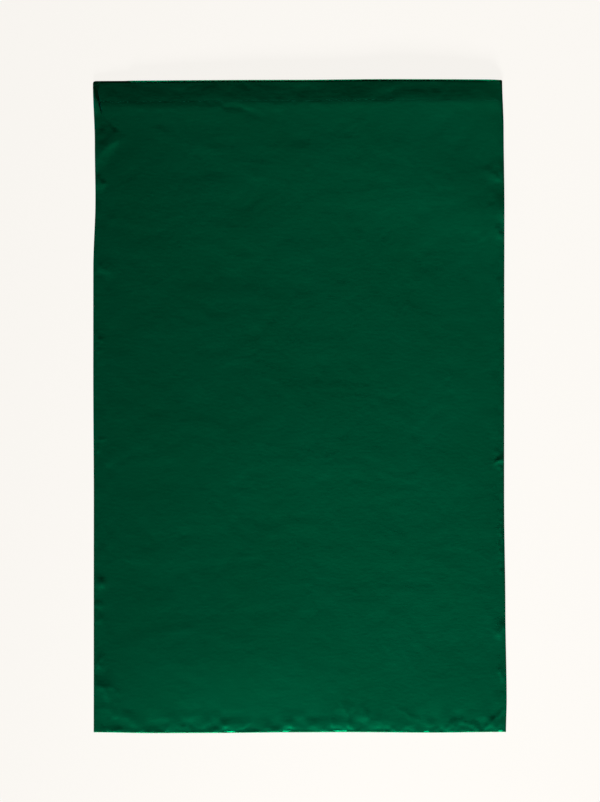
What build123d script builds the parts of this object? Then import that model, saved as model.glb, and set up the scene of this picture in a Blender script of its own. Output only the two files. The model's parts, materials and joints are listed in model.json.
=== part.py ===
from build123d import *
import os

# A plain satin gift sack, empty and lying flat on its back. All sizes are in millimetres.
# X runs across the sack, +Y runs from the closed bottom edge to the open mouth, and +Z is up.
# The origin is the centre of the footprint, on the surface that the sack lies on.
# Two panels are sewn together along the sides and the bottom with the raw edges inside.
# The mouth of each panel is turned in as a wide hem and stitched down.
# The sack is cut where it bends: its bottom third folds up, and the front of the mouth lifts.
# The front panel's flat middle and the borders that slope down to the seams are separate pieces.

# Overall size, laid flat
MOUTH_WIDTH = 500.0
BOTTOM_WIDTH = 505.0
SACK_LENGTH = 800.0
MOUTH_SETBACK = 2.5  # the front panel's mouth edge stops this short of the back panel's

# Cloth and thread
CLOTH = 0.4
THREAD = 0.3
THREAD_PROUD = 0.1  # how far a flat stitch stands off the cloth that it lies on

# Seams round the sides and the bottom
ALLOWANCE = 10.0  # raw edge turned inside, measured from the seam
ALLOWANCE_LAYERS = 2
PRESSED_EDGE = 5.0  # flat strip of the front panel that lies on the allowance
LOOP_CLEAR = 1.4  # from the pressed edge to the overlock loops, where the front panel has lifted

# Room inside
LOFT = 7.0  # clear height between the two panels in the middle of the sack
SLOPE_RUN = 32.0  # width of the border over which the front panel rises to its full height

# Hem round the mouth
HEM_DEPTH = 25.0
TURN_UNDER = 8.0  # raw edge of the hem, turned under once more
STITCH_INSET = 2.0  # from the hem's inner edge to its row of stitches
STITCH_WIDTH = 0.4

# Where the sack bends
FOLD_FROM_BOTTOM = 270.0
LANDING_CLEAR = 20.0  # from the folded-up bottom edge to the line where the mouth lifts
BODY_GAP = 0.3  # clear gap between two pieces that move apart
FOLD_CLEAR = 0.6  # height of the fold's axis above the front panel

# Heights, stacked from the surface up
back_top = CLOTH
allowance_top = back_top + ALLOWANCE_LAYERS * CLOTH
plateau_under = back_top + LOFT
plateau_top = plateau_under + CLOTH
fold_axis_z = plateau_top + FOLD_CLEAR

# Places along the sack
bottom_y = -SACK_LENGTH / 2
back_mouth_y = SACK_LENGTH / 2
front_mouth_y = back_mouth_y - MOUTH_SETBACK
fold_y = bottom_y + FOLD_FROM_BOTTOM
hinge_y = fold_y + FOLD_FROM_BOTTOM + LANDING_CLEAR
fold_low = fold_y - BODY_GAP / 2
fold_high = fold_y + BODY_GAP / 2
hinge_low = hinge_y - BODY_GAP / 2
hinge_high = hinge_y + BODY_GAP / 2

# Distances in from the side seams
slope_end = PRESSED_EDGE + SLOPE_RUN
loops_start = PRESSED_EDGE + LOOP_CLEAR
overlock_end = ALLOWANCE + THREAD
hem_end = overlock_end + BODY_GAP
SPARE = 5.0  # how far a cutting tool reaches past the cloth

SIDES = {"left": -1, "right": 1}


def half_width(y):
    """Half of the sack's width at y. The sides splay a little towards the bottom."""
    along = (y - bottom_y) / SACK_LENGTH
    return (BOTTOM_WIDTH + (MOUTH_WIDTH - BOTTOM_WIDTH) * along) / 2


def plan(y_low, y_high, inset, z=0.0):
    """The sack's outline between two heights, drawn in from both side seams by inset."""
    low = half_width(y_low) - inset
    high = half_width(y_high) - inset
    corners = [(-low, y_low), (low, y_low), (high, y_high), (-high, y_high)]
    return Pos(0, 0, z) * make_face(Polyline(*corners, close=True))


def sheet(y_low, y_high, z_low, z_high, inset=0.0):
    """A flat layer of cloth across the sack."""
    return extrude(plan(y_low, y_high, inset, z_low), z_high - z_low, dir=(0, 0, 1))


def side_strip(side, y_low, y_high, z_low, z_high, outer, inner):
    """A flat strip along one side seam, between two distances in from that seam."""
    low, high = half_width(y_low), half_width(y_high)
    corners = [
        (side * (low - outer), y_low),
        (side * (low - inner), y_low),
        (side * (high - inner), y_high),
        (side * (high - outer), y_high),
    ]
    face = Pos(0, 0, z_low) * make_face(Polyline(*corners, close=True))
    return extrude(face, z_high - z_low, dir=(0, 0, 1))


def rise(z_low, z_high, y_high):
    """The tapered block of room that the front panel is draped over."""
    foot = plan(bottom_y + PRESSED_EDGE, y_high, PRESSED_EDGE, z_low)
    crown = plan(bottom_y + slope_end, y_high, slope_end, z_high)
    return loft([foot, crown], ruled=True)


def front_shell():
    """The whole front panel: a pressed edge, a sloping border and a flat middle."""
    edge = sheet(bottom_y, front_mouth_y, allowance_top, allowance_top + CLOTH)
    crown = rise(allowance_top + CLOTH, plateau_top, front_mouth_y)
    room = rise(allowance_top, plateau_under, front_mouth_y + SPARE)
    return edge + crown - room


def flat_middle(shell, y_low, y_high, inset):
    """The flat middle of the front panel between two places along the sack."""
    return shell & sheet(y_low, y_high, 0.0, plateau_top + SPARE, inset)


def side_border(shell, side, y_low, y_high):
    """The border beside the flat middle, which slopes down to a side seam."""
    return shell & side_strip(side, y_low, y_high, 0.0, plateau_top + SPARE, 0.0, slope_end)


def bottom_border(shell):
    """The border that slopes down to the bottom seam, between the side borders."""
    return flat_middle(shell, bottom_y, bottom_y + slope_end, slope_end)


def border_hem(shell, side):
    """The end of the front panel's hem, turned in below the border beside the mouth."""
    lowered = Pos(0, 0, -CLOTH) * shell
    reach = (front_mouth_y - HEM_DEPTH, front_mouth_y, 0.0, plateau_top, hem_end, slope_end)
    return lowered & side_strip(side, *reach)


def front_stitch_row(shell):
    """A flat row of stitches that follows the front panel from seam to seam."""
    row_y = front_mouth_y - HEM_DEPTH + STITCH_INSET
    raised = Pos(0, 0, THREAD_PROUD) * shell
    return (raised - shell) & sheet(row_y, row_y + STITCH_WIDTH, 0.0, plateau_top + SPARE)


def turned_hem(y_edge, z_cloth, inward, inset):
    """A hem turned in under a panel, with its raw edge turned under once more."""
    first = sorted([z_cloth, z_cloth + inward * CLOTH])
    second = sorted([z_cloth + inward * CLOTH, z_cloth + 2 * inward * CLOTH])
    facing = sheet(y_edge - HEM_DEPTH, y_edge, *first, inset)
    lip = sheet(y_edge - HEM_DEPTH, y_edge - HEM_DEPTH + TURN_UNDER, *second, inset)
    return facing + lip


def overlock_section(side, y_low, y_high):
    """Overlock thread: loops over the top of the allowance and round its raw edge.

    It starts above the bottom seam, where the front panel has lifted off the allowance.
    """
    y_start = max(y_low, bottom_y + loops_start)
    loops_top = allowance_top + THREAD_PROUD
    loops = side_strip(side, y_start, y_high, allowance_top, loops_top, loops_start, ALLOWANCE)
    edge = side_strip(side, y_start, y_high, back_top, loops_top, ALLOWANCE, overlock_end)
    return loops + edge


def side_seam_pieces(name, side, y_low, y_high):
    """The allowance, seam thread and overlock of one stretch of a side seam."""
    heights = (back_top, allowance_top)
    return {
        f"side_allowance_{name}": side_strip(side, y_low, y_high, *heights, THREAD, ALLOWANCE),
        f"side_seam_{name}": side_strip(side, y_low, y_high, *heights, 0.0, THREAD),
        f"side_overlock_{name}": overlock_section(side, y_low, y_high),
    }


def bottom_seam_pieces():
    """The allowance, seam thread and overlock of the bottom seam, between the side seams."""
    raw_y = bottom_y + ALLOWANCE
    heights = (back_top, allowance_top)
    loops_top = allowance_top + THREAD_PROUD
    clear_of_sides = overlock_end
    loops = sheet(bottom_y + loops_start, raw_y, allowance_top, loops_top, clear_of_sides)
    edge = sheet(raw_y, raw_y + THREAD, back_top, loops_top, clear_of_sides)
    return {
        "bottom_allowance": sheet(bottom_y + THREAD, raw_y, *heights, clear_of_sides),
        "bottom_seam": sheet(bottom_y, bottom_y + THREAD, *heights, THREAD),
        "bottom_overlock": loops + edge,
    }


def back_hem_pieces():
    """The back panel's hem and its row of stitches, on the inside of the sack."""
    row_y = back_mouth_y - HEM_DEPTH + STITCH_INSET
    hem_top = back_top + 2 * CLOTH
    return {
        "back_hem_facing": turned_hem(back_mouth_y, back_top, 1, hem_end),
        "back_hem_stitching": sheet(row_y, row_y + STITCH_WIDTH, hem_top, hem_top + THREAD_PROUD, hem_end),
    }


def front_panel_pieces():
    """The front panel: a flat middle cut where the sack bends, and the borders round it."""
    shell = front_shell()
    flap_inset = slope_end + BODY_GAP
    pieces = {
        "front_panel_lower": flat_middle(shell, bottom_y + slope_end, fold_low, slope_end),
        "front_panel_middle": flat_middle(shell, fold_high, hinge_low, slope_end),
        "front_mouth_panel": flat_middle(shell, hinge_high, front_mouth_y, flap_inset),
        "front_hem_facing": turned_hem(front_mouth_y, plateau_under, -1, flap_inset),
        "front_border_bottom": bottom_border(shell),
    }
    for name, side in SIDES.items():
        upper = side_border(shell, side, fold_high, front_mouth_y)
        pieces[f"front_border_{name}_lower"] = side_border(shell, side, bottom_y, fold_low)
        pieces[f"front_border_{name}_upper"] = upper + border_hem(shell, side)
    return pieces


def front_stitch_pieces():
    """The front hem's row of stitches, on the part of the mouth that lifts and beside it."""
    row = front_stitch_row(front_shell())
    ends = [side_border(row, side, hinge_y, front_mouth_y) for side in SIDES.values()]
    return {
        "front_hem_stitching": flat_middle(row, hinge_y, front_mouth_y, slope_end + BODY_GAP),
        "front_hem_stitching_ends": ends[0] + ends[1],
    }


def back_panel_pieces():
    """The back panel, cut at the fold."""
    return {
        "back_panel_lower": sheet(bottom_y, fold_low, 0.0, back_top),
        "back_panel_upper": sheet(fold_high, back_mouth_y, 0.0, back_top),
    }


def side_pieces():
    """Both side seams, each cut at the fold."""
    pieces = {}
    for name, side in SIDES.items():
        pieces |= side_seam_pieces(f"{name}_lower", side, bottom_y + THREAD, fold_low)
        pieces |= side_seam_pieces(f"{name}_upper", side, fold_high, front_mouth_y)
    return pieces


def main():
    os.makedirs("parts", exist_ok=True)
    pieces = back_panel_pieces() | front_panel_pieces() | side_pieces()
    pieces |= front_stitch_pieces() | bottom_seam_pieces() | back_hem_pieces()
    for node, solid in pieces.items():
        solid.label = node
        export_step(solid, f"parts/{node}.step")
        print(f"{node}: {solid.volume:.1f} mm3, {len(solid.solids())} solid(s)")
    print(f"fold axis: y {fold_y:.2f}, z {fold_axis_z:.2f}")
    print(f"mouth hinge: y {hinge_y:.2f}, z {plateau_top:.2f}")


main()
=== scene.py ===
# %% [markdown]
# # A satin gift sack
# An empty sack of dark emerald satin lies flat on a pale table, seen from straight above. It is two
# panels of cloth, sewn together down both sides and along the bottom, with a wide hem turned in at the
# mouth. A cell builds one thing at a time: the cloth first, then the threads, the satin itself, the
# light and the camera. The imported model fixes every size, so the first cell loads it and reads them.

# %% Load the frame
import json
import math
import bmesh
import bpy
import numpy as np
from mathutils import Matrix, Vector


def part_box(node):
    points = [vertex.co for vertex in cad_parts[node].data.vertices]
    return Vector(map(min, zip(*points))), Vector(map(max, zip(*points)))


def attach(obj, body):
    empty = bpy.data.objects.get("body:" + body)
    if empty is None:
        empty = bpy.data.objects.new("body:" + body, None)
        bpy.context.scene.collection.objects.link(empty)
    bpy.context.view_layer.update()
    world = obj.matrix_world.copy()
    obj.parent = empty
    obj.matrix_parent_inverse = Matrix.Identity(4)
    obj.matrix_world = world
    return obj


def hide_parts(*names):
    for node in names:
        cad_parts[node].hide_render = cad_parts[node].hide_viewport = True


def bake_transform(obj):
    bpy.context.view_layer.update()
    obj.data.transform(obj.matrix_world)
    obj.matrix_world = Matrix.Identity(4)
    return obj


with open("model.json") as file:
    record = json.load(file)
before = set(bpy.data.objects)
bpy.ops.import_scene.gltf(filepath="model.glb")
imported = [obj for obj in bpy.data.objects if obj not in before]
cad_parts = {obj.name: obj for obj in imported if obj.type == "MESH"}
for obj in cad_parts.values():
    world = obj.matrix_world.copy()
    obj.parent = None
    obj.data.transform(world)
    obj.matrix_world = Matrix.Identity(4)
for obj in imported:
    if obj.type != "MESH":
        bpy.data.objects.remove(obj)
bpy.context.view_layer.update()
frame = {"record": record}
MM = 0.001  # Blender works in metres, and the shapes below are described in millimetres


def box_mm(node):
    """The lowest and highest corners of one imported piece, in millimetres."""
    low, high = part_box(node)
    return np.array(low) / MM, np.array(high) / MM


lower_low, lower_high = box_mm("back_panel_lower")
hem_low, hem_high = box_mm("front_hem_facing")
upper_high = box_mm("back_panel_upper")[1]
mouth_high = box_mm("front_mouth_panel")[1]
allowance_high = box_mm("bottom_allowance")[1]
hinge = {j["name"]: np.array(j["pos_m"]) / MM for j in frame["record"]["behaviour"]["joints"]}

BOTTOM_Y = lower_low[1]
MOUTH_Y = upper_high[1]
LENGTH = MOUTH_Y - BOTTOM_Y
HEM_DEPTH = hem_high[1] - hem_low[1]
SETBACK = MOUTH_Y - mouth_high[1]
FOLD_Y = hinge["bottom_third_fold"][1]
HINGE_Y = hinge["mouth_lift"][1]
ALLOWANCE = allowance_high[1] - BOTTOM_Y
BOTTOM_HALF = lower_high[0]
MOUTH_HALF = BOTTOM_HALF - (BOTTOM_HALF - upper_high[0]) * LENGTH / (MOUTH_Y - FOLD_Y)
print(f"sack {LENGTH:.0f} mm long, hem {HEM_DEPTH:.0f} mm, fold at {FOLD_Y:.0f}, hinge at {HINGE_Y:.0f}")

# %% [markdown]
# ## The outline
# A sewn rectangle of satin never lies quite straight: its edges stray a millimetre or two where the seam
# pulls. One way to show that is noise, but noise looks the same everywhere. Here each edge has a few
# listed places where it strays, and a smooth curve joins them. Both panels use the same edges, so the
# seams always meet.

# %% The four edges
def through(places, at):
    """A smooth curve through a few (place, value) points, level at each of them."""
    spots, values = np.array(places, float).T
    at = np.clip(np.asarray(at, float), spots[0], spots[-1])
    step = np.clip(np.searchsorted(spots, at, side="right") - 1, 0, len(spots) - 2)
    t = (at - spots[step]) / (spots[step + 1] - spots[step])
    return values[step] + (values[step + 1] - values[step]) * t * t * (3 - 2 * t)


# how far each edge stands out from its straight seam line, in millimetres
LEFT_STRAY = [(-400, -0.1), (-130, 0.2), (60, 1.2), (170, 1.3), (255, -1.2), (325, -0.3), (400, 2.1)]
RIGHT_STRAY = [
    (-400, 0.3), (-360, 1.2), (-250, -0.2), (-120, -1.5), (100, -1.0), (250, -0.6), (340, -1.4),
    (400, -3.1),
]
BOTTOM_STRAY = [(-252, 0.0), (-180, 1.0), (-110, 0.8), (0, 0.0), (60, -0.2), (160, 0.4), (252, -0.4)]
MOUTH_STRAY = [(-252, -2.1), (0, -1.3), (90, -0.7), (250, -0.8)]


def half_width(y):
    """Half of the sack's width, straight from seam to seam."""
    return BOTTOM_HALF + (MOUTH_HALF - BOTTOM_HALF) * (y - BOTTOM_Y) / LENGTH


def left_edge(y):
    return -half_width(y) - through(LEFT_STRAY, y)


def right_edge(y):
    return half_width(y) + through(RIGHT_STRAY, y)


def bottom_edge(x):
    return BOTTOM_Y - through(BOTTOM_STRAY, x)


def back_mouth(x):
    return MOUTH_Y + through(MOUTH_STRAY, x)


print(f"width at the mouth {right_edge(MOUTH_Y) - left_edge(MOUTH_Y):.1f} mm")

# %% [markdown]
# ## How high the cloth stands
# The front panel starts low at the seams, rolls over them, and rises a few millimetres over the air left
# inside. On top of that come slow billows, puckers where the seam gathers the cloth, and a few long
# creases. Each is a small height that fades out, and the panel is their sum. A height field like this
# can't fold over itself, but an empty sack lying flat doesn't either, and every wrinkle stays where it
# is put.

# %% Building blocks for the heights
def fade(distance, reach):
    """0 at a seam, and close to 1 a few reaches inside it."""
    return 1 - np.exp(-np.maximum(distance, 0) / reach)


def roll(distance, radius):
    """A quarter circle: how the cloth turns over at a seam or a folded edge."""
    t = 1 - np.clip(distance / radius, 0, 1)
    return np.sqrt(np.maximum(1 - t * t, 0))


def bump(distance, reach):
    """A soft hump, 1 in its middle."""
    return np.exp(-((distance / reach) ** 2))


def smooth_noise(x, y, cell_x, cell_y, seed):
    """Gentle random swells, from -1 to 1, about one cell across."""
    rng = np.random.default_rng(seed)
    grid = rng.uniform(-1, 1, (256, 256))
    u, v = x / cell_x + 128, y / cell_y + 128
    i, j = np.floor(u).astype(int), np.floor(v).astype(int)
    a, b = u - i, v - j
    a, b = a * a * a * (a * (a * 6 - 15) + 10), b * b * b * (b * (b * 6 - 15) + 10)
    i, j = i % 255, j % 255
    low = grid[i, j] * (1 - a) + grid[i + 1, j] * a
    high = grid[i, j + 1] * (1 - a) + grid[i + 1, j + 1] * a
    return low * (1 - b) + high * b


def crease(x, y, start, end, height, half, lean=1.0):
    """A ridge, or with a negative height a valley, that fades out at both ends.

    Seen from its start, its left flank is lean times as wide as its right one.
    """
    (x0, y0), (x1, y1) = start, end
    length = math.hypot(x1 - x0, y1 - y0)
    along = ((x - x0) * (x1 - x0) + (y - y0) * (y1 - y0)) / length**2
    across = ((x - x0) * (y1 - y0) - (y - y0) * (x1 - x0)) / length
    t = np.clip(along, 0, 1)
    ends = np.where((along > 0) & (along < 1), np.sin(np.pi * t) ** 0.7, 0)
    return height * ends * bump(across, np.where(across < 0, half * lean, half))


# %% [markdown]
# ## Creases and puckers
# Each long crease runs between two points. Each pucker sits at one place on a seam, is a few millimetres
# wide and reaches a little way in. They are lists because that is how a sewer would describe them: here
# a fold from the hem, there three small tucks in the side seam.

# %% Where the wrinkles are
# each broad swell of air and each pucker: its centre, height, half width and half length
SWELLS = [
    (205, 256, 1.7, 60, 40), (-60, -40, 1.6, 150, 100), (-185, 350, -1.1, 75, 50), (190, -285, -1.1, 80, 60),
    (60, -70, 0.4, 120, 22), (60, 170, -0.4, 170, 60),
]
PUCKERS = [
    # beside the left seam, from the mouth down
    (-244, 272, 0.80, 7, 5), (-240, 165, 0.50, 9, 5), (-246, 82, 0.35, 4, 2), (-246, 74, 0.30, 4, 2),
    (-245, 66, 0.30, 5, 2), (-243, -43, 0.35, 6, 2.2), (-246, -52, 0.30, 3, 2), (-232, -66, 0.35, 8, 6),
    (-244, -219, 0.80, 6, 4.5), (-247, -246, 0.35, 4, 3), (-247, -262, 0.30, 4, 3), (-237, -350, 0.80, 11, 8),
    (-246, -316, 0.50, 5, 5), (-226, -378, 0.50, 9, 6), (-128, -360, 0.55, 28, 24),
    # beside the right seam
    (247, 286, 0.50, 3, 4), (238, 281, 0.70, 9, 6), (232, 221, 0.75, 32, 16), (250, 236, 1.30, 10, 8),
    (246, 212, 0.50, 4, 4), (247, 140, 0.40, 3, 9), (244, -67, 1.00, 5, 4), (246, -79, 0.40, 3, 3),
    (243, -278, 0.70, 7, 5), (247, -330, 0.40, 3, 6),
    # along the bottom seam, from left to right
    (-205, -390, 0.40, 8, 4), (-159, -390, 0.40, 7, 5), (-138, -391, 0.30, 5, 4), (-118, -390, 0.35, 6, 5),
    (-92, -392, 0.35, 7, 3), (-66, -391, 0.35, 6, 3), (-40, -393, 0.30, 5, 3), (-8, -392, 0.30, 6, 3),
    (18, -393, 0.30, 5, 3), (41, -388, 0.40, 5, 5.5), (57, -373, 0.45, 6, 7), (62, -391, 0.30, 4, 3),
    (79, -378, 0.35, 6, 6), (99, -388, 0.35, 7, 5), (130, -391, 0.35, 8, 3), (156, -390, 0.35, 6, 3),
    (232, -391, 0.60, 6, 4),
]
PUCKERS += [(246.5, -142 - 7.5 * k, 0.28, 2.6, 2.0) for k in range(9)]  # a row of small gathers
PUCKER_LIFT = 1.6  # how much they stand out, all together
# start, end, height and half width of each long crease, and how much wider its left flank is
CREASES = [
    ((-118, 374), (-36, 352), -0.40, 4.5), ((-258, 289), (-221, 336), 2.20, 8.0, 3.0),
    ((110, 128), (180, 216), -0.35, 14), ((20, 74), (86, 67), 0.06, 2.5), ((112, 96), (134, 130), 0.10, 3),
    ((176, -400), (203, -383), 0.80, 4), ((199, -383), (224, -402), 0.80, 4),
    ((252, -370), (233, -389), 0.7, 4), ((-252, -336), (-226, -350), 0.4, 5),
    ((120, -368), (150, -392), 0.35, 4),
]


# the fine and the wide gathers along a seam: height, length, width, how far inside they are, and their reach
GATHERS = [(0.10, 6.0, 5.0, 2, 6.0), (0.20, 15.0, 11.0, 8, 18.0)]
GATHERS_START = 1.2  # how soon they start, in from the seam


def gathers(along, inward, seed, depth):
    """Small random gathers all along a seam, which fade out a little way inside it."""
    total = 0
    for k, (height, cell_along, cell_inward, middle, reach) in enumerate(GATHERS):
        noise = smooth_noise(along, inward, cell_along, cell_inward, seed + 9 * k)
        total = total + height * noise * bump(inward - middle, reach)
    return depth * total * fade(inward, GATHERS_START)


print(f"{len(SWELLS)} swells, {len(PUCKERS)} puckers, {len(CREASES)} creases")

# %% Faint crinkles
# height, width and length of each size of ripple that handling leaves in the cloth, and its seed
RIPPLES = [(0.20, 60, 42, 9), (0.07, 34, 14, 21), (0.10, 21, 18, 23), (0.07, 12, 12, 24), (0.036, 7, 7.5, 25)]
# how far places are moved across and along, the width and length of each such swirl, and its seed
SWIRLS = [(14, 55, 45, 71), (9, 60, 40, 72)]
CREST = 0.8  # how much of a ripple goes into its sharp crest
CREST_SOFTNESS = 0.02  # and how far that crest is rounded off
MOUTH_CRINKLES = [(100, 1.0), (250, 1.3)]  # they are stronger towards the mouth, evenly between two places


def stirred(x, y, strays):
    """Moves places about a little at random, so that a wrinkle set out on them isn't too regular."""
    (far_x, *swirl_x), (far_y, *swirl_y) = strays
    return x + far_x * smooth_noise(x, y, *swirl_x), y + far_y * smooth_noise(x, y, *swirl_y)


def handled(x, y):
    """Faint crinkles of several sizes. They swirl a little, and are sharper along their crests."""
    wx, wy = stirred(x, y, SWIRLS)
    total = 0
    for height, cell_x, cell_y, seed in RIPPLES:
        swell = smooth_noise(wx, wy, cell_x, cell_y, seed)
        total = total + height * (swell - CREST * np.sqrt(swell * swell + CREST_SOFTNESS))
    return total * np.interp(y, *zip(*MOUTH_CRINKLES))


x_across = np.linspace(-200, 200, 401)
print(f"crinkles rise and fall by {np.ptp(handled(x_across, 0 * x_across)):.2f} mm across the middle")

# %% [markdown]
# ## The hem's relief
# The hem makes the cloth thicker at the mouth, so the front panel stands up in a ridge along the hem's
# inner edge and slopes down from there to the mouth. It could be modelled layer by layer, but from above
# only its relief shows: a slope, a ridge and a fall beyond it, joined by soft bends, with a groove where
# the stitches pull the cloth in. Each is steeper at some places across the sack than at others.

# %% Shape of the hem and of the left corner
STITCH_BACK = HEM_DEPTH - 2.0  # from the mouth's edge to the row of stitches
# how steeply the hem slopes down to the mouth, how far its ridge is from the mouth, and how steeply the
# panel falls beyond the ridge, at places across the sack
HEM_SLOPE = [(-252, 0.104), (-190, 0.106), (-90, 0.090), (60, 0.104), (252, 0.125)]
RIDGE = [(-252, 29.0), (-150, 29.0), (-60, 27.0), (60, 26.5), (150, 24.0), (252, 23.5)]
BELOW_RIDGE = [(-252, 0.06), (0, 0.065), (110, 0.085), (252, 0.09)]
BELOW_RUN = 13.0  # how soon that fall levels out
BEND = 2.0  # how soft the bends beside the ridge are
GROOVE, GROOVE_HALF = 0.05, 1.5  # depth and half width of the groove along the stitches
TUCKS, TUCK_CELL, TUCK_HALF = 0.04, 7, 8  # height, spacing and reach of the tucks that the stitches leave
# a narrow fold at the left corner: it rises from below the hem, then dives to the mouth's edge
CORNER_RISE = [(330, 0.0), (352, 0.9), (376, 3.2), (399, -2.2)]
CORNER_IN, CORNER_HALF = 3, 3.4  # how far inside the seam its middle is, and its half width
# how far in from the left seam the tuck beside it starts and ends, and how deep it is
TUCK_FROM = [(355, 9.5), (371, 6.5), (380, 3.2), (390, 1.7), (400, 1.3)]
TUCK_TO = [(325, 9.5), (345, 10.5), (360, 10.3), (371, 9.0), (380, 7.6), (390, 6.0), (400, 4.2)]
TUCK_DEPTH = [(325, 0.0), (350, 0.35), (366, 0.6), (378, 0.8), (400, 0.3)]
TUCK_WALLS = (0.9, 1.1)  # how wide the tuck's outer and inner walls are


def soft_ramp(distance, width):
    """0 well before a place and the distance past it well after, with a smooth bend between."""
    return width * np.logaddexp(0, distance / width)


def hem_shape(x, in_mouth):
    """The hem's own relief: a slope up from the mouth, a ridge at its inner edge, and a fall beyond."""
    past = in_mouth - through(RIDGE, x)
    slope = -through(HEM_SLOPE, x) * soft_ramp(-past, BEND)
    fall = -through(BELOW_RIDGE, x) * BELOW_RUN * (1 - np.exp(-soft_ramp(past, BEND) / BELOW_RUN))
    from_stitches = in_mouth - STITCH_BACK
    groove = -GROOVE * bump(from_stitches, GROOVE_HALF)
    tucks = TUCKS * smooth_noise(x, 0 * x, TUCK_CELL, 1, 41) * bump(from_stitches, TUCK_HALF)
    return slope + fall + groove + tucks


def corner_tuck(x, y, z, low):
    """The front panel's left mouth corner has a narrow tuck beside the seam, down to low at its deepest."""
    inside = x - left_edge(y)
    past_start = np.clip((inside - through(TUCK_FROM, y)) / TUCK_WALLS[0], 0, 1)
    before_end = np.clip((through(TUCK_TO, y) - inside) / TUCK_WALLS[1], 0, 1)
    share = past_start * before_end
    return (low - z) * through(TUCK_DEPTH, y) * share * share * (3 - 2 * share)


print(f"hem stitched {STITCH_BACK:.0f} mm from the mouth's edge")

# %% [markdown]
# ## The two panels' surfaces
# Both panels meet at the seam, a millimetre above the table. The back panel curls down to the table from
# there, and up again in a small lip at the mouth. The front panel rolls up and over the seam, and
# everything described so far is added to it. Each panel could be sculpted by hand, but as formulas the
# same two functions also say where the hems, the stitches and the tuck have to go.

# %% Sizes of the two panels
SEAM_Z = 1.1  # where the two panels meet
SEAM_ROLL = 1.2  # height of the front panel's roll over a seam, and its width at the bottom seam
LEFT_ROLL = 2.4  # width of that roll at the left seam
# and at each place along the right seam
RIGHT_ROLL = [
    (-400, 1.6), (-210, 1.6), (-190, 3.6), (-130, 3.6), (-90, 1.6), (330, 1.6), (360, 4.0), (400, 4.0),
]
LOFT = 3.8  # how much further it rises over the air inside
FULL_LEFT, FULL_RIGHT, FULL_BOTTOM = 22, 16, 45  # how soon it has risen, in from each seam
BOTTOM_LIFT, BOTTOM_LIFT_REACH = 0.4, 9  # and a little, steeply, beside the bottom seam
# broad rises: where across the sack, how wide, and how high at each place along it
SHELVES = [
    (0, 900, [(150, 0.0), (370, 1.2)]), (125, 95, [(205, 0.0), (315, 1.9)]),
    (-90, 120, [(-395, 0.0), (-310, 1.9), (-60, 0.0)]),
]
PUCKER_TAIL = 2.2  # how much further a pucker reaches towards the mouth than away from it
WRINKLE_STRAYS = [(4.0, 11, 9, 61), (3.0, 9, 9, 62)]  # how puckers and creases are stirred, as in SWIRLS
SIDE_GATHERS, BOTTOM_GATHERS = 1.2, 3.4  # how deep the gathers along each seam are
HEM_START = 0.3  # the smaller, the nearer to the side seams the hem's relief starts
BACK_Z = 0.35  # the back panel, where it lies on the table
MOUTH_CURL = 5.0  # how far the back panel's mouth edge curls up behind the front panel's
CURL_REACH = 14.0  # how far from the mouth the curl starts
CURL_FADE = 3  # how soon the curl starts, in from the side seams
CURL_ALONG = [
    (-252, 0.15), (-216, 0.25), (-205, 0.72), (-120, 0.94), (-60, 1.06), (0, 1.08), (60, 1.14),
    (120, 1.34), (180, 1.22), (226, 0.98), (252, 0.42),
]  # and how much of it there is at each place across the sack
LAYER_GAP = 0.15  # the tuck's deepest point stays this far above the back panel
MOUTH_DIP, DIP_X, DIP_HALF = 0.6, -190, 60  # how far the front panel's mouth is drawn back, where, how widely

# %% Heights of the front and back panels
def front_mouth(x):
    """The front panel's mouth edge, which stops short of the back panel's."""
    return back_mouth(x) - SETBACK - MOUTH_DIP * bump(x - DIP_X, DIP_HALF)


def back_height(x, y):
    """How high the back panel's outside, its underside as it lies, stands off the table."""
    in_side = np.minimum(x - left_edge(y), right_edge(y) - x)
    near = np.minimum(in_side, y - bottom_edge(x))
    curl = MOUTH_CURL * through(CURL_ALONG, x) * np.clip(1 - (back_mouth(x) - y) / CURL_REACH, 0, 1) ** 3
    return SEAM_Z + (BACK_Z - SEAM_Z) * roll(near, SEAM_ROLL) + curl * fade(in_side, CURL_FADE)


def wrinkles(x, y, edge, full):
    """What the air, the seams and the folds add to the front panel's height."""
    z = 0
    for place_x, place_y, height, half_x, half_y in SWELLS:
        z = z + height * full * bump(x - place_x, half_x) * bump(y - place_y, half_y)
    wx, wy = stirred(x, y, WRINKLE_STRAYS)
    for place_x, place_y, height, half_x, half_y in PUCKERS:
        reach = np.where(wy > place_y, PUCKER_TAIL * half_y, half_y)
        z = z + PUCKER_LIFT * height * edge * bump(wx - place_x, half_x) * bump(wy - place_y, reach)
    for wrinkle in CREASES:
        z = z + crease(wx, wy, *wrinkle) * edge
    return z


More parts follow.
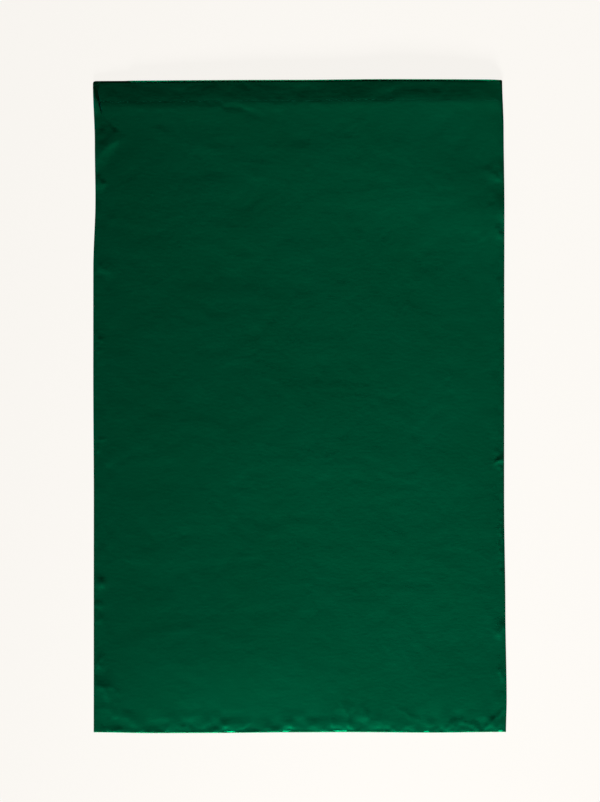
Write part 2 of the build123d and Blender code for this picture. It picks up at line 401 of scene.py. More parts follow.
def front_height(x, y):
    """How high the front panel's outside stands, in millimetres."""
    in_left, in_right = x - left_edge(y), right_edge(y) - x
    in_bottom, in_mouth = y - bottom_edge(x), front_mouth(x) - y
    edge = roll(in_left, LEFT_ROLL) * roll(in_right, through(RIGHT_ROLL, y)) * roll(in_bottom, SEAM_ROLL)
    full = fade(in_left, FULL_LEFT) * fade(in_right, FULL_RIGHT) * fade(in_bottom, FULL_BOTTOM)
    z = SEAM_Z + SEAM_ROLL * edge + LOFT * full + BOTTOM_LIFT * fade(in_bottom, BOTTOM_LIFT_REACH) * edge
    z = z + wrinkles(x, y, edge, full) + full * handled(x, y)
    sides = gathers(y, in_left, 31, SIDE_GATHERS) + gathers(y, in_right, 32, SIDE_GATHERS)
    z = z + (sides + gathers(x, in_bottom, 33, BOTTOM_GATHERS)) * edge
    for place_x, half_x, rise in SHELVES:
        z = z + full * bump(x - place_x, half_x) * through(rise, y)
    z = z + full**HEM_START * hem_shape(x, in_mouth)
    z = z + through(CORNER_RISE, y) * bump(in_left - CORNER_IN, CORNER_HALF) * edge
    return z + corner_tuck(x, y, z, back_height(x, y) + LAYER_GAP)


probe = front_height(np.array([0.0, -200.0, 0.0]), np.array([0.0, 0.0, 390.0]))
print("front panel stands", probe.round(2), "mm high in the middle, by the left seam and at the hem")
deck_x, deck_y = np.meshgrid(np.linspace(-245, 245, 246), np.linspace(-395, 140, 268))
print(f"{front_height(deck_x, deck_y).max():.2f} mm at its highest where the bottom third lands")

# %% [markdown]
# ## A sheet of cloth as a mesh
# A sheet is a grid of rows and columns. The grid is fine where the cloth turns tightly, at the seams, the
# hem and the fold, and coarser in the middle. Every vertex also keeps its place on the flat cloth in a
# UV map in metres, so the weave stays on the cloth when the sack folds.

# %% Rows, columns and sheets
EDGE_STEPS = [0, 0.1, 0.3, 0.6, 1.0, 1.5, 2.2, 3.1, 4.3, 6.0, 8.0]  # distances in from a seam
STEP = 2.0  # grid spacing in the middle
LEAST_STEP = 0.05  # places nearer than this are one


def graded(low, high, dense):
    """Places from low to high, closer together at both ends and inside each dense stretch."""
    marks = list(np.arange(low + EDGE_STEPS[-1], high - EDGE_STEPS[-1], STEP))
    marks += [low + s for s in EDGE_STEPS]
    marks += [high - s for s in EDGE_STEPS]
    for centre, reach, step in dense:
        marks = [m for m in marks if abs(m - centre) > reach]
        marks += list(np.arange(centre - reach, centre + reach + step / 2, step))
    marks = np.unique(np.round(marks, 3))
    keep = np.concatenate([[True], np.diff(marks) > LEAST_STEP])
    return marks[keep]


def round_corner(x, y, corner, towards, radius):
    """Draws the points near one corner of the outline in, so that the corner is an arc."""
    a = 1 - np.abs(x - corner[0]) / radius
    b = 1 - np.abs(y - corner[1]) / radius
    near = (a > 0) & (b > 0)
    a, b = np.clip(a, 0, 1), np.clip(b, 0, 1)
    pull = np.where(near, np.maximum(a, b) / np.maximum(np.hypot(a, b), 1e-9), 1)
    centre_x, centre_y = corner[0] + towards[0] * radius, corner[1] + towards[1] * radius
    return centre_x + (x - centre_x) * pull, centre_y + (y - centre_y) * pull


def new_object(name, mesh):
    """Puts a mesh in the scene, at the origin."""
    made = bpy.data.objects.new(name, mesh)
    bpy.context.scene.collection.objects.link(made)
    return made


def sheet_object(name, points, flat, outward=1):
    """A grid of points (rows, columns, 3) in millimetres as a smooth mesh with a cloth UV map."""
    rows, columns = points.shape[:2]
    index = np.arange(rows * columns).reshape(rows, columns)
    quads = np.stack([index[:-1, :-1], index[:-1, 1:], index[1:, 1:], index[1:, :-1]], axis=-1).reshape(-1, 4)
    quads = quads[:, ::outward]
    mesh = bpy.data.meshes.new(name)
    mesh.from_pydata((points.reshape(-1, 3) * MM).tolist(), [], quads.tolist())
    uv = mesh.uv_layers.new(name="cloth")
    corners = np.empty(len(mesh.loops), np.int32)
    mesh.loops.foreach_get("vertex_index", corners)
    uv.data.foreach_set("uv", (flat.reshape(-1, 2)[corners] * MM).astype(np.float32).ravel())
    mesh.polygons.foreach_set("use_smooth", [True] * len(mesh.polygons))
    print(f"{name}: {len(mesh.vertices)} vertices, {2 * len(mesh.polygons)} triangles")
    return new_object(name, mesh)


# %% [markdown]
# ## The front panel
# The panel crosses both places where the sack bends, and a piece of cloth can only bend between two
# bodies. So it is two meshes that share one row of vertices, clear of both bends. Each gets the shading
# normals of the whole panel along that row, and the join can't be seen.

# %% Grid of the front panel
JOIN_Y = (FOLD_Y + HINGE_Y) / 2 + 55  # where the two meshes meet
CORNERS = {"left": 3.5, "right": 1.6}  # radius of each mouth corner
# centre, reach and step of the stretches where the grid is finer: the corner's tuck, the fold and the ridge
TUCK_COLUMNS = (-BOTTOM_HALF + 7.5, 5.0, 0.6)
FOLD_ROWS = (FOLD_Y, 14.0, 1.0)
RIDGE_ROWS = (MOUTH_Y - SETBACK - STITCH_BACK - 3, 9.0, 0.8)

columns = graded(-BOTTOM_HALF, BOTTOM_HALF, dense=[TUCK_COLUMNS])
columns = (columns + BOTTOM_HALF) / (2 * BOTTOM_HALF)  # as shares of the width, from the left seam
rows = graded(BOTTOM_Y, MOUTH_Y, dense=[FOLD_ROWS, RIDGE_ROWS])
rows = np.unique(np.append(rows[np.abs(rows - JOIN_Y) > 0.8], JOIN_Y))  # one row exactly at the join
print(f"front grid {len(rows)} rows by {len(columns)} columns")


def across(columns, y):
    """Turns each column's share of the width into a place between the two side edges."""
    low, high = left_edge(y), right_edge(y)
    return low + (high - low) * columns


def panel_points(rows, columns, mouth, height):
    """A panel's grid: its rows run between the bottom edge and the mouth's edge."""
    share = (rows[:, None] - BOTTOM_Y) / LENGTH
    x = across(columns[None, :], rows[:, None])
    low, high = bottom_edge(x), mouth(x)
    y = low + (high - low) * share
    z = height(x, y)
    for side, edge in (("left", left_edge), ("right", right_edge)):
        towards = (1 if side == "left" else -1, -1)
        corner = (edge(MOUTH_Y), float(mouth(edge(MOUTH_Y))))
        x, y = round_corner(x, y, corner, towards, CORNERS[side])
    return np.stack([x, y, z], axis=-1)


def flat_places(runs, columns):
    """Where each vertex lies on the flat cloth: across it, and along it from the bottom edge."""
    shape = (len(runs), len(columns))
    x = columns * 2 * BOTTOM_HALF - BOTTOM_HALF
    return np.stack([np.broadcast_to(x, shape), np.broadcast_to(runs[:, None], shape)], axis=-1)


front = panel_points(rows, columns, front_mouth, front_height)

# %% [markdown]
# ## The turned-in hem
# The upper mesh goes on over the mouth's edge and back down inside as the hem, with its raw edge turned
# under once more. A Solidify modifier would thicken the cloth, but it wouldn't show the hem's layers when
# the mouth is lifted. Here the grid gets more rows, which follow the hem's path below the panel.

# %% Turn the front hem in
HEM_ROLL = 0.45  # radius of the fold at the mouth's edge
LIP = 8.0  # width of the raw edge that is turned under
LIP_BULGE, LIP_ROLL = 0.35, 0.4  # how far its fold stands out, and that fold's radius
HEM_SHARE = 0.42  # how much of the room between the two panels each hem may take
LAYERS_APART = 0.2  # and the room that it leaves
THINNEST = 0.05  # share of its own thickness that a hem keeps where there is no room


def hem_path():
    """(distance back from the mouth, depth below the outside) along the turned-in hem."""
    over = [(HEM_ROLL - HEM_ROLL * math.sin(a), HEM_ROLL - HEM_ROLL * math.cos(a))
            for a in np.radians([25, 50, 75, 105, 130, 155, 180])]
    inside = [(s, 2 * HEM_ROLL) for s in np.linspace(2.0, HEM_DEPTH - 0.5, 9)]
    under = [(HEM_DEPTH + LIP_BULGE * math.sin(a) - LIP_BULGE,
              2 * HEM_ROLL + LIP_ROLL - LIP_ROLL * math.cos(a)) for a in np.radians([60, 120, 180])]
    lip = [(s, 2 * HEM_ROLL + 2 * LIP_ROLL) for s in np.linspace(HEM_DEPTH - 1.5, HEM_DEPTH - LIP, 4)]
    return np.array(over + inside + under + lip)


def turned_in(edge_row, path, height, other):
    """Rows of points that carry on from a panel's mouth edge along the hem inside it."""
    thick = path[:, 1].max()
    made = []
    for back, depth in path:
        x, y = edge_row[:, 0], edge_row[:, 1] - back
        surface = height(x, y) if back > HEM_ROLL else edge_row[:, 2]
        gap = other(x, y) - surface
        room = np.clip((np.abs(gap) - LAYERS_APART) * HEM_SHARE / thick, THINNEST, 1)
        made.append(np.stack([x, y, surface + np.sign(gap) * depth * room], axis=-1))
    return np.array(made)


hem = hem_path()
hem_run = MOUTH_Y + np.cumsum(np.hypot(*np.diff(np.vstack([[0, 0], hem]), axis=0).T))
front_all = np.concatenate([front, turned_in(front[-1], hem, front_height, back_height)])
front_flat = flat_places(np.concatenate([rows, hem_run]), columns)
print(f"front hem turned in over {len(hem)} rows")

# %% Make the front panel's two meshes
def grid_normals(points):
    """Unit normals of a grid of points, upwards where the grid lies flat."""
    along = np.gradient(points, axis=0)
    side = np.gradient(points, axis=1)
    n = np.cross(side, along)
    return n / np.maximum(np.linalg.norm(n, axis=-1, keepdims=True), 1e-12)


normals = grid_normals(front_all)
join = int(np.searchsorted(rows, JOIN_Y))
front_lower = sheet_object("front_cloth_lower", front_all[: join + 1], front_flat[: join + 1])
front_upper = sheet_object("front_cloth_upper", front_all[join:], front_flat[join:])
for piece, part in ((front_lower, normals[: join + 1]), (front_upper, normals[join:])):
    piece.data.normals_split_custom_set_from_vertices(part.reshape(-1, 3).tolist())

# %% [markdown]
# ## The back panel
# The back panel lies on the table. It is coarser than the front, because only its mouth edge shows beyond
# the front panel's. Its hem is turned in the other way, upwards, so the two hems face each other inside
# the mouth. The grid runs the same way as the front's, so its faces are turned over to point down, out
# of the sack.

# %% Make the back panel
def thinned(places):
    """Keeps the fine steps at both ends, and every second place between them."""
    ends = len(EDGE_STEPS)
    return np.concatenate([places[:ends], places[ends:-ends:2], places[-ends:]])


fold_centre, fold_half, fold_step = FOLD_ROWS
at_fold = np.arange(fold_centre - fold_half, fold_centre + fold_half + 0.1, fold_step)
back_columns = thinned(columns)
back_rows = thinned(graded(BOTTOM_Y, MOUTH_Y, dense=[FOLD_ROWS]))
clear_of_fold = np.abs(back_rows - fold_centre) > fold_half + fold_step
back_rows = np.unique(np.concatenate([back_rows[clear_of_fold], at_fold]))
back = panel_points(back_rows, back_columns, back_mouth, back_height)
back_all = np.concatenate([back, turned_in(back[-1], hem, back_height, front_height)])
back_flat = flat_places(np.concatenate([back_rows, hem_run]), back_columns)
back_cloth = sheet_object("back_cloth", back_all, back_flat, outward=-1)

# %% [markdown]
# ## Seam allowances
# Inside the sack, the two panels' raw edges lie together along each seam, ten millimetres wide. They are
# hidden unless the mouth is lifted. Each is a narrow closed strip: it could be left out, but a sack with
# nothing inside its seams would look cut out of paper when it opens. BMesh joins the strip's last row to
# its first and caps the ends.

# %% Make the allowances
LAYERS_Z = (1.0, 1.85)  # underside and top of the two raw edges, lying on the back panel
STRIP_START = 0.9  # how far inside the seam a strip starts
STRIP_STEP = 3.0
RAW_WAVE, RAW_CELL = 0.18, 14  # height and spacing of the ripple along a raw edge
SAME_PLACE = 1e-6  # vertices nearer than this, in metres, are one


def close_up(piece):
    """Joins a strip's last row to its first and caps its two ends."""
    mesh = bmesh.new()
    mesh.from_mesh(piece.data)
    bmesh.ops.remove_doubles(mesh, verts=mesh.verts, dist=SAME_PLACE)
    bmesh.ops.holes_fill(mesh, edges=[edge for edge in mesh.edges if edge.is_boundary])
    bmesh.ops.recalc_face_normals(mesh, faces=mesh.faces)
    mesh.to_mesh(piece.data)
    open_edges = sum(edge.is_boundary for edge in mesh.edges)
    print(f"{piece.name}: {len(mesh.verts)} vertices, {open_edges} open edges")
    mesh.free()
    return piece


def strip_object(name, outer, inner, wave_seed):
    """A closed strip between two lines of points, with a slight ripple along its raw edge."""
    steps = np.linspace(0, 1, 5)[:, None, None]
    flat = outer[None] * (1 - steps) + inner[None] * steps
    wave = smooth_noise(flat[..., 0] + flat[..., 1], 0 * flat[..., 0], RAW_CELL, 1, wave_seed)
    ripple = RAW_WAVE * wave * steps[..., 0]
    top = np.dstack([flat, LAYERS_Z[1] + ripple])
    under = np.dstack([flat, LAYERS_Z[0] + ripple])
    ring = np.concatenate([top, under[::-1], top[:1]])
    return close_up(sheet_object(name, ring, ring[..., :2], outward=-1))


def side_allowance(side):
    """The strip along one side seam."""
    y = np.arange(BOTTOM_Y + 1, MOUTH_Y - SETBACK - 1, STRIP_STEP)
    edge, sign = (left_edge(y), 1) if side == "left" else (right_edge(y), -1)
    lines = [np.stack([edge + sign * s, y], axis=-1) for s in (STRIP_START, ALLOWANCE)]
    return strip_object(f"side_allowance_{side}", *lines, wave_seed=51)


def bottom_allowance():
    """The strip along the bottom seam, between the two at the sides."""
    x = np.arange(left_edge(BOTTOM_Y) + ALLOWANCE + 1, right_edge(BOTTOM_Y) - ALLOWANCE - 1, STRIP_STEP)
    lines = [np.stack([x, bottom_edge(x) + s], axis=-1) for s in (STRIP_START, ALLOWANCE)]
    return strip_object("bottom_allowance_strip", *lines, wave_seed=52)


allowances = {side: side_allowance(side) for side in ("left", "right")}
allowances["bottom"] = bottom_allowance()

# %% [markdown]
# ## Satin
# Satin is woven so that most of the thread on its face floats one way. That gives it a soft, broad
# shine in its own colour, and fine streaks along the floats. A plain gloss or a coat would shine white.
# Here the surface is partly metallic, so that the shine takes the dye's green, and a green tint at
# grazing angles keeps it green even against the light. The streaks, the slubs and the uneven dye come
# from noise that is stretched along the cloth's UV map, in one group that the satin and the thread share.

# %% Helpers for node trees
def node(tree, kind, links=(), **settings):
    """Adds a node, sets it up and links (output socket, input name or number) pairs to it."""
    made = tree.nodes.new(kind)
    for key, value in settings.items():
        setattr(made, key, value)
    for source, target in links:
        tree.links.new(source, made.inputs[target])
    return made


def set_inputs(made, values):
    """Sets a node's own sockets by name."""
    for label, value in values.items():
        made.inputs[label].default_value = value


def blank_material(name):
    """A new material, its node tree and its shader."""
    material = bpy.data.materials.new(name)
    material.use_nodes = True
    tree = material.node_tree
    return material, tree, tree.nodes["Principled BSDF"]


# %% The weave group
SATIN_WEAVE = {"Threads per metre": 900.0, "Float stretch": 0.55, "Slub scale": 260.0, "Drift scale": 9.0}


def weave_group():
    """Cloth detail from a vector in metres: float streaks, slubs, and a slow drift in tone."""
    tree = bpy.data.node_groups.new("woven detail", "ShaderNodeTree")
    tree.interface.new_socket("Vector", in_out="INPUT", socket_type="NodeSocketVector")
    for label, value in SATIN_WEAVE.items():
        tree.interface.new_socket(label, in_out="INPUT", socket_type="NodeSocketFloat").default_value = value
    for label in ("Floats", "Slubs", "Drift"):
        tree.interface.new_socket(label, in_out="OUTPUT", socket_type="NodeSocketFloat")
    given, out = tree.nodes.new("NodeGroupInput"), tree.nodes.new("NodeGroupOutput")
    squash = node(tree, "ShaderNodeCombineXYZ", [(given.outputs["Float stretch"], "X")])
    set_inputs(squash, {"Y": 1, "Z": 1})
    along = node(tree, "ShaderNodeVectorMath", [(given.outputs["Vector"], 0), (squash.outputs[0], 1)],
                 operation="MULTIPLY")
    for label, scale, source, detail in (
        ("Floats", "Threads per metre", along.outputs[0], 2.0),
        ("Slubs", "Slub scale", along.outputs[0], 3.0),
        ("Drift", "Drift scale", given.outputs["Vector"], 2.0),
    ):
        noise = node(tree, "ShaderNodeTexNoise", [(source, "Vector"), (given.outputs[scale], "Scale")])
        set_inputs(noise, {"Detail": detail})
        tree.links.new(noise.outputs["Fac"], out.inputs[label])
    return tree


WEAVE = weave_group()


def woven(tree, place, sizes):
    """The weave group in a material, which reads the given place and has its own sizes."""
    detail = node(tree, "ShaderNodeGroup", [(place, "Vector")], node_tree=WEAVE)
    set_inputs(detail, sizes)
    return detail.outputs


def between(tree, share, dark, light):
    """A colour between two others."""
    mix = node(tree, "ShaderNodeMix", [(share, "Factor")], data_type="RGBA")
    set_inputs(mix, {"A": dark, "B": light})
    return mix.outputs["Result"]


def bumped(tree, height, strength, distance, below=None):
    """A bump that follows a height, on top of another one where there is one."""
    made = node(tree, "ShaderNodeBump", [(height, "Height")])
    set_inputs(made, {"Strength": strength, "Distance": distance})
    if below is not None:
        tree.links.new(below, made.inputs["Normal"])
    return made.outputs["Normal"]


print(f"weave group with {len(WEAVE.nodes)} nodes")

# %% The satin material
SATIN_DARK = (0.0001, 0.0560, 0.0198, 1)
SATIN_LIGHT = (0.0001, 0.0675, 0.0272, 1)
NAP = (0.0, 0.9, 1.0, 1)  # colour of the faint sheen
GRAZING = (0.0, 0.45, 0.40, 1)  # colour of the shine at grazing angles


def satin_material():
    material, tree, shader = blank_material("emerald satin")
    uv = node(tree, "ShaderNodeUVMap", uv_map="cloth")
    detail = woven(tree, uv.outputs[0], SATIN_WEAVE)
    tree.links.new(between(tree, detail["Drift"], SATIN_DARK, SATIN_LIGHT), shader.inputs["Base Color"])
    rough = node(tree, "ShaderNodeMapRange", [(detail["Slubs"], "Value")])
    set_inputs(rough, {"To Min": 0.40, "To Max": 0.48})
    tree.links.new(rough.outputs[0], shader.inputs["Roughness"])
    fine = bumped(tree, detail["Floats"], 0.25, 0.00003)
    coarse = bumped(tree, detail["Slubs"], 0.35, 0.00050, below=fine)
    tree.links.new(coarse, shader.inputs["Normal"])
    set_inputs(shader, {
        "Metallic": 0.4, "Specular IOR Level": 0.0, "Specular Tint": GRAZING,
        "Sheen Weight": 0.05, "Sheen Roughness": 0.5, "Sheen Tint": NAP,
    })
    print(f"{material.name}: {len(tree.nodes)} nodes")
    return material


satin = satin_material()
for piece in (front_lower, front_upper, back_cloth, *allowances.values()):
    piece.data.materials.append(satin)

# %% The thread material
THREAD_WEAVE = {"Threads per metre": 9000.0, "Float stretch": 0.4, "Slub scale": 900.0, "Drift scale": 60.0}
THREAD_DARK = (0.0004, 0.020, 0.008, 1)
THREAD_LIGHT = (0.001, 0.042, 0.018, 1)
THREAD_SHINE = (0.0, 0.70, 0.40, 1)


def thread_material():
    material, tree, shader = blank_material("emerald thread")
    place = node(tree, "ShaderNodeTexCoord")
    detail = woven(tree, place.outputs["Object"], THREAD_WEAVE)
    tree.links.new(between(tree, detail["Slubs"], THREAD_DARK, THREAD_LIGHT), shader.inputs["Base Color"])
    tree.links.new(bumped(tree, detail["Floats"], 0.5, 0.00005), shader.inputs["Normal"])
    set_inputs(shader, {"Roughness": 0.55, "Specular Tint": THREAD_SHINE})
    print(f"{material.name}: {len(tree.nodes)} nodes")
    return material


thread = thread_material()

# %% [markdown]
# ## Stitches with Geometry Nodes
# A row of stitches is one short thread repeated along a path, which is just what Geometry Nodes do well:
# the path is resampled at the stitch's pitch, one stitch is put at each point and turned along the path,
# and Realize Instances makes real mesh of it. Its sizes are inputs of the tree, so one tree sews the
# hems and the seams.

# %% Building blocks for thread
def new_tree(name, sizes):
    """An empty Geometry Nodes tree with a path to follow, named sizes and the thread's material."""
    tree = bpy.data.node_groups.new(name, "GeometryNodeTree")
    tree.interface.new_socket("Geometry", in_out="INPUT", socket_type="NodeSocketGeometry")
    for label in sizes:
        tree.interface.new_socket(label, in_out="INPUT", socket_type="NodeSocketFloat")
    tree.interface.new_socket("Thread", in_out="INPUT", socket_type="NodeSocketMaterial")
    tree.interface.new_socket("Geometry", in_out="OUTPUT", socket_type="NodeSocketGeometry")
    return tree, tree.nodes.new("NodeGroupInput").outputs, tree.nodes.new("NodeGroupOutput")


def times(tree, source, factor):
    """A number multiplied by a constant."""
    made = node(tree, "ShaderNodeMath", [(source, 0)], operation="MULTIPLY")
    made.inputs[1].default_value = factor
    return made.outputs[0]


def arch(tree, start, middle, end, resolution):
    """A curve from start to end, drawn towards middle. Each is given by its axes and their sockets."""
    places = [node(tree, "ShaderNodeCombineXYZ", [(source, axis) for axis, source in place.items()])
              for place in (start, middle, end)]
    links = [(place.outputs[0], label) for place, label in zip(places, ("Start", "Middle", "End"))]
    made = node(tree, "GeometryNodeCurveQuadraticBezier", links)
    set_inputs(made, {"Resolution": resolution})
    return made.outputs[0]


def circle(tree, radius, resolution):
    """A circular curve: the section of a thread, or a ring of thread."""
    made = node(tree, "GeometryNodeCurvePrimitiveCircle", [(radius, "Radius")])
    set_inputs(made, {"Resolution": resolution})
    return made.outputs[0]


def thickened(tree, curve, section, capped):
    """A curve as real thread, with the given section."""
    made = node(tree, "GeometryNodeCurveToMesh", [(curve, 0), (section, 1)])
    set_inputs(made, {"Fill Caps": capped})
    return made.outputs[0]


def repeat_along_path(tree, given, out, shape):
    """Puts a copy of shape at every pitch of the path, turned along it, and makes real mesh of them."""
    path = node(tree, "GeometryNodeMeshToCurve", [(given["Geometry"], 0)])
    spaced = node(tree, "GeometryNodeResampleCurve", [(path.outputs[0], 0), (given["Pitch"], "Length")],
                  mode="LENGTH")
    tangent = node(tree, "GeometryNodeInputTangent")
    turn = node(tree, "FunctionNodeAlignRotationToVector", [(tangent.outputs[0], "Vector")],
                axis="X", pivot_axis="Z")
    placed = node(tree, "GeometryNodeInstanceOnPoints",
                  [(spaced.outputs[0], "Points"), (shape, "Instance"), (turn.outputs[0], "Rotation")])
    real = node(tree, "GeometryNodeRealizeInstances", [(placed.outputs[0], 0)])
    coloured = node(tree, "GeometryNodeSetMaterial", [(real.outputs[0], 0), (given["Thread"], "Material")])
    tree.links.new(coloured.outputs[0], out.inputs[0])


# %% A node tree for straight stitches
def stitch_tree():
    tree, given, out = new_tree("straight stitches", ["Pitch", "Length", "Radius", "Arch"])
    half = times(tree, given["Length"], 0.5)
    back = times(tree, half, -1)
    thread_line = arch(tree, {"X": back}, {"Z": given["Arch"]}, {"X": half}, resolution=4)
    section = circle(tree, given["Radius"], resolution=6)
    repeat_along_path(tree, given, out, thickened(tree, thread_line, section, capped=True))
    print(f"{tree.name}: {len(tree.nodes)} nodes")
    return tree


STRAIGHT = stitch_tree()

# %% Sew the hems and the seams
SEWING = {"Pitch": 3.0 * MM, "Length": 2.5 * MM, "Radius": 0.13 * MM, "Arch": 0.12 * MM, "Thread": thread}
ROW_FROM, ROW_TO = 5, 7  # how far in from the left and the right seam a hem's row of stitches ends
ON_FRONT, ON_BACK = -0.12, 2.15  # height of each hem's stitches over the outside of its panel
SEAM_INSIDE = 0.7  # how far inside the edge the seams' thread runs


def path_object(points):
    """A line of points in millimetres, as a mesh of edges for a tree to follow."""
    mesh = bpy.data.meshes.new("path")
    edges = [(i, i + 1) for i in range(len(points) - 1)]
    mesh.from_pydata((np.asarray(points) * MM).tolist(), edges, [])
    return new_object("path", mesh)


def grow(name, points, tree, **values):
    """Runs a tree along a line of points and keeps its result as a plain mesh."""
    path = path_object(points)
    modifier = path.modifiers.new("grow", "NODES")
    modifier.node_group = tree
    for item in tree.interface.items_tree:
        if item.in_out == "INPUT" and item.name in values:
            modifier[item.identifier] = values[item.name]
    seen = path.evaluated_get(bpy.context.evaluated_depsgraph_get())
    mesh = bpy.data.meshes.new_from_object(seen)
    path.modifiers.clear()
    bpy.data.objects.remove(path)
    mesh.name = name
    mesh.polygons.foreach_set("use_smooth", [True] * len(mesh.polygons))
    print(f"{name}: {len(mesh.polygons)} faces")
    return new_object(name, mesh)


def hem_line(mouth, height, lift):
    """The row of stitches through a hem, from seam to seam."""
    x = np.arange(left_edge(MOUTH_Y) + ROW_FROM, right_edge(MOUTH_Y) - ROW_TO, 1.5)
    y = mouth(x) - STITCH_BACK
    return np.stack([x, y, height(x, y) + lift], axis=-1)


def side_line(side, inward, z):
    """A line along a side seam, some way inside it."""
    y = np.arange(BOTTOM_Y + 2, MOUTH_Y - SETBACK - 1, 2.0)
    x = left_edge(y) + inward if side == "left" else right_edge(y) - inward
    return np.stack([x, y, 0 * y + z], axis=-1)


def bottom_line(inward, z):
    """A line along the bottom seam, some way inside it."""
    x = np.arange(left_edge(BOTTOM_Y) + 2, right_edge(BOTTOM_Y) - 2, 2.0)
    return np.stack([x, bottom_edge(x) + inward, 0 * x + z], axis=-1)


front_row = hem_line(front_mouth, front_height, ON_FRONT)
back_row = hem_line(back_mouth, back_height, ON_BACK)
front_hem_stitches = grow("front_hem_stitches", front_row, STRAIGHT, **SEWING)
back_hem_stitches = grow("back_hem_stitches", back_row, STRAIGHT, **SEWING)
seams = {side: grow(f"side_seam_{side}", side_line(side, SEAM_INSIDE, SEAM_Z), STRAIGHT, **SEWING)
         for side in ("left", "right")}
seams["bottom"] = grow("bottom_seam_stitches", bottom_line(SEAM_INSIDE, SEAM_Z), STRAIGHT, **SEWING)

# %% [markdown]
# ## Overlock thread
# The raw edges inside are bound with overlock: loops that reach back over the cloth and lock round its
# edge. The same idea as the stitches, with another shape to repeat: a thin V for the loop and a ring
# round the edge, a few dozen faces in all.

# %% A node tree for overlock loops
def overlock_tree():
    tree, given, out = new_tree("overlock loops", ["Pitch", "Reach", "Radius", "Ring"])
    half = times(tree, given["Pitch"], 0.5)
    back = times(tree, half, -1)
    top = {"Z": given["Ring"]}
    loop = arch(tree, {"X": back, **top}, {"Y": given["Reach"], **top}, {"X": half, **top}, resolution=5)
    section = circle(tree, given["Radius"], resolution=4)
    upright = node(tree, "GeometryNodeTransform", [(circle(tree, given["Ring"], resolution=8), 0)])
    set_inputs(upright, {"Rotation": (0, math.pi / 2, 0)})
    loop_mesh = thickened(tree, loop, section, capped=True)
    ring_mesh = thickened(tree, upright.outputs[0], section, capped=False)
    both = node(tree, "GeometryNodeJoinGeometry", [(loop_mesh, 0), (ring_mesh, 0)])
    repeat_along_path(tree, given, out, both.outputs[0])
    print(f"{tree.name}: {len(tree.nodes)} nodes")
    return tree


OVERLOCK = overlock_tree()

# %% Bind the raw edges
BINDING = {"Pitch": 2.4 * MM, "Radius": 0.12 * MM, "Ring": 0.5 * MM, "Thread": thread}
LOOP_REACH = 7 * MM
edge_z = sum(LAYERS_Z) / 2
raw = ALLOWANCE - 0.2  # the rings go round the raw edge, so their middles are just inside it
left_raw, right_raw = (side_line(side, raw, edge_z)[4:] for side in ("left", "right"))  # clear of the bottom
bottom_raw = bottom_line(raw, edge_z)[6:-6]  # and of the sides
overlocks = {
    "left": grow("overlock_left", left_raw, OVERLOCK, Reach=LOOP_REACH, **BINDING),
    "right": grow("overlock_right", right_raw, OVERLOCK, Reach=-LOOP_REACH, **BINDING),
    "bottom": grow("overlock_bottom", bottom_raw, OVERLOCK, Reach=-LOOP_REACH, **BINDING),
}

# %% [markdown]
# ## Riding on the bodies
# The imported model has three bodies: the sack's upper part, the bottom third that folds up, and the part
# of the front that lifts at the mouth. The cloth that crosses the fold only has its place baked into its
# mesh. At the mouth the side seams stay down while the middle lifts, so each vertex has its own share of
# the lift, which is worked out here but not applied. The pieces along the bottom seam hang on the bottom
# third's body, and the back hem's stitches on the root.

# %% Bake the cloth, and hang the bottom pieces on their body
LIFT_BEFORE, LIFT_BAND = 70, 140  # how far below the hinge the cloth starts to lift, and over what length
LIFT_SIDES = 0.62  # share of the half width over which the lift grows, in from each seam


def bends_at_fold(piece):
    """Bakes the piece's transform into its mesh; it doesn't blend it across the fold."""
    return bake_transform(piece)


def lift_share(x, y):
    """How much of the mouth's lift a place takes: none at the seams, all of it in the middle."""
    rise = np.clip((y - (HINGE_Y - LIFT_BEFORE)) / LIFT_BAND, 0, 1)
    side = np.clip((1 - np.abs(x) / half_width(y)) / LIFT_SIDES, 0, 1)
    return rise * rise * (3 - 2 * rise) * np.sin(side * math.pi / 2) ** 1.5


def lifts_at_mouth(piece):
    """Works out each vertex's share of the lift, without the smooth step, and bakes the piece's transform;
    the share isn't applied and the vertices end where they were.
    """
    places = np.empty(3 * len(piece.data.vertices), np.float32)
    piece.data.vertices.foreach_get("co", places)
    at = places.reshape(-1, 3) / MM
    share = np.clip(lift_share(at[:, 0].astype(float), at[:, 1].astype(float)), 0, 1)
    unstepped = 0.5 - np.sin(np.arcsin(1 - 2 * share) / 3)
    line = np.zeros_like(at)
    line[:, 2] = unstepped
    piece.data.vertices.foreach_set("co", line.ravel())
    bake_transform(piece)
    piece.data.vertices.foreach_set("co", places)
    piece.data.update()
    print(f"{piece.name}: lifts fully at {np.mean(share > 0.99):.0%} of its vertices")
    return piece


for piece in (front_lower, back_cloth, seams["left"], seams["right"], overlocks["left"], overlocks["right"],
              allowances["left"], allowances["right"]):
    bends_at_fold(piece)
for piece in (front_upper, front_hem_stitches):
    lifts_at_mouth(piece)
for piece in (seams["bottom"], overlocks["bottom"], allowances["bottom"]):
    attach(piece, "bottom_fold")
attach(back_hem_stitches, "root")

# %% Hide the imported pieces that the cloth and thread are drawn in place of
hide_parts("front_panel_lower", "front_panel_middle", "front_border_bottom",
            "front_border_left_lower", "front_border_right_lower")
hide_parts("front_mouth_panel", "front_border_left_upper", "front_border_right_upper",
            "front_hem_facing")
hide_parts("back_panel_lower", "back_panel_upper", "back_hem_facing")
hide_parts("front_hem_stitching", "front_hem_stitching_ends")
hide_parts("back_hem_stitching")
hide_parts("bottom_allowance")
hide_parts("bottom_seam")
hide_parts("bottom_overlock")
for side in ("left", "right"):
    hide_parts(f"side_allowance_{side}_lower", f"side_allowance_{side}_upper")
    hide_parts(f"side_seam_{side}_lower", f"side_seam_{side}_upper")
    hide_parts(f"side_overlock_{side}_lower", f"side_overlock_{side}_upper")

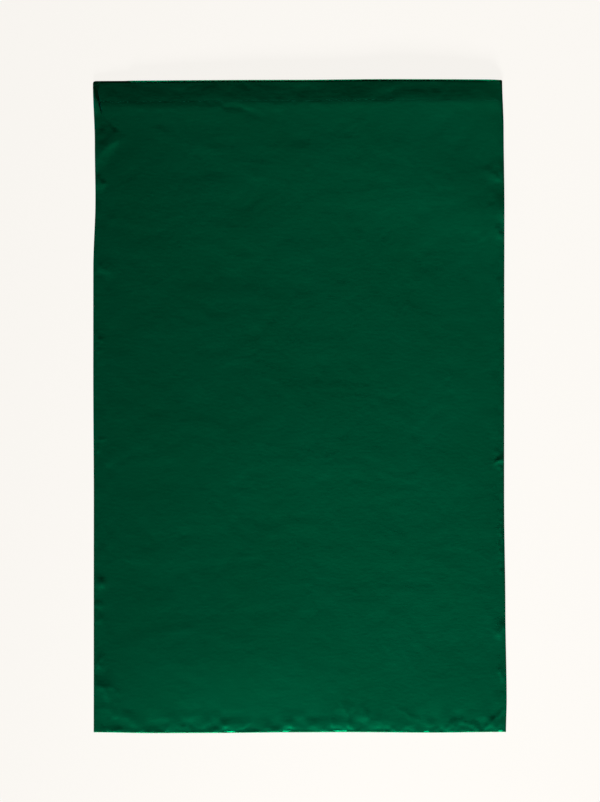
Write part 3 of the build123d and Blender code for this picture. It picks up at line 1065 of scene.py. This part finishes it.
# %% [markdown]
# ## Table, light and camera
# The table is a plain pale surface, lit so evenly that it shows almost no shadow. The key light stands
# low beyond the sack's closed end, so that the satin shines most there and the hem, which slopes the
# other way, stays dark. A soft fill from above keeps the dark parts green. The camera looks straight
# down with a long lens.

# %% The table
TABLE = (0.965, 0.938, 0.896)


def table_material():
    material, tree, shader = blank_material("pale table")
    shader.inputs["Base Color"].default_value = (0.07, 0.068, 0.065, 1)
    shader.inputs["Roughness"].default_value = 0.9
    shader.inputs["Specular IOR Level"].default_value = 0.0
    shader.inputs["Emission Color"].default_value = (*TABLE, 1)
    shader.inputs["Emission Strength"].default_value = 0.93
    return material


def table_object():
    mesh = bpy.data.meshes.new("table")
    reach, z = 4.0, -0.0004
    corners = [(-reach, -reach, z), (reach, -reach, z), (reach, reach, z), (-reach, reach, z)]
    mesh.from_pydata(corners, [], [(0, 1, 2, 3)])
    made = new_object("table", mesh)
    made.data.materials.append(table_material())
    print(f"table {2 * reach:.0f} m wide")
    return made


table_object()

# %% Lights
def soft_light(name, place, target, size, power, spread=180):
    """A rectangular softbox that faces its target. A grid on it narrows its spread, in degrees."""
    data = bpy.data.lights.new(name, "AREA")
    data.shape, data.size, data.size_y = "RECTANGLE", *size
    data.energy, data.spread = power, math.radians(spread)
    light = bpy.data.objects.new(name, data)
    light.location = place
    direction = Vector(np.array(target) - np.array(place))
    light.rotation_euler = direction.to_track_quat("-Z", "Y").to_euler()
    bpy.context.scene.collection.objects.link(light)
    print(f"{name}: {power} W, {direction.length:.2f} m away")
    return light


soft_light("key softbox", (-0.15, -2.93, 0.62), (0.24, 0.40, 0), (1.0, 0.4), 16.6, spread=30)
soft_light("fill softbox", (1.14, 1.14, 1.92), (0, 0, 0), (1.2, 1.2), 6.5)
world = bpy.data.worlds.new("studio")
world.use_nodes = True
set_inputs(world.node_tree.nodes["Background"], {"Color": (1.0, 0.99, 0.97, 1), "Strength": 0.10})
bpy.context.scene.world = world

# %% Camera
FIELD = 0.9821  # height of the view at the sack, in metres
LENS, SENSOR = 85.0, 36.0  # in millimetres
VIEW_CENTRE = (0.0004, 0.0059)
SACK_TOP = 0.002
camera = bpy.data.objects.new("camera", bpy.data.cameras.new("camera"))
camera.data.lens, camera.data.sensor_width = LENS, SENSOR
camera.location = (*VIEW_CENTRE, FIELD * LENS / SENSOR + SACK_TOP)
bpy.context.scene.collection.objects.link(camera)
bpy.context.scene.camera = camera
bpy.context.scene.view_settings.view_transform = "Standard"
print(f"camera {camera.location.z:.2f} m above the table")
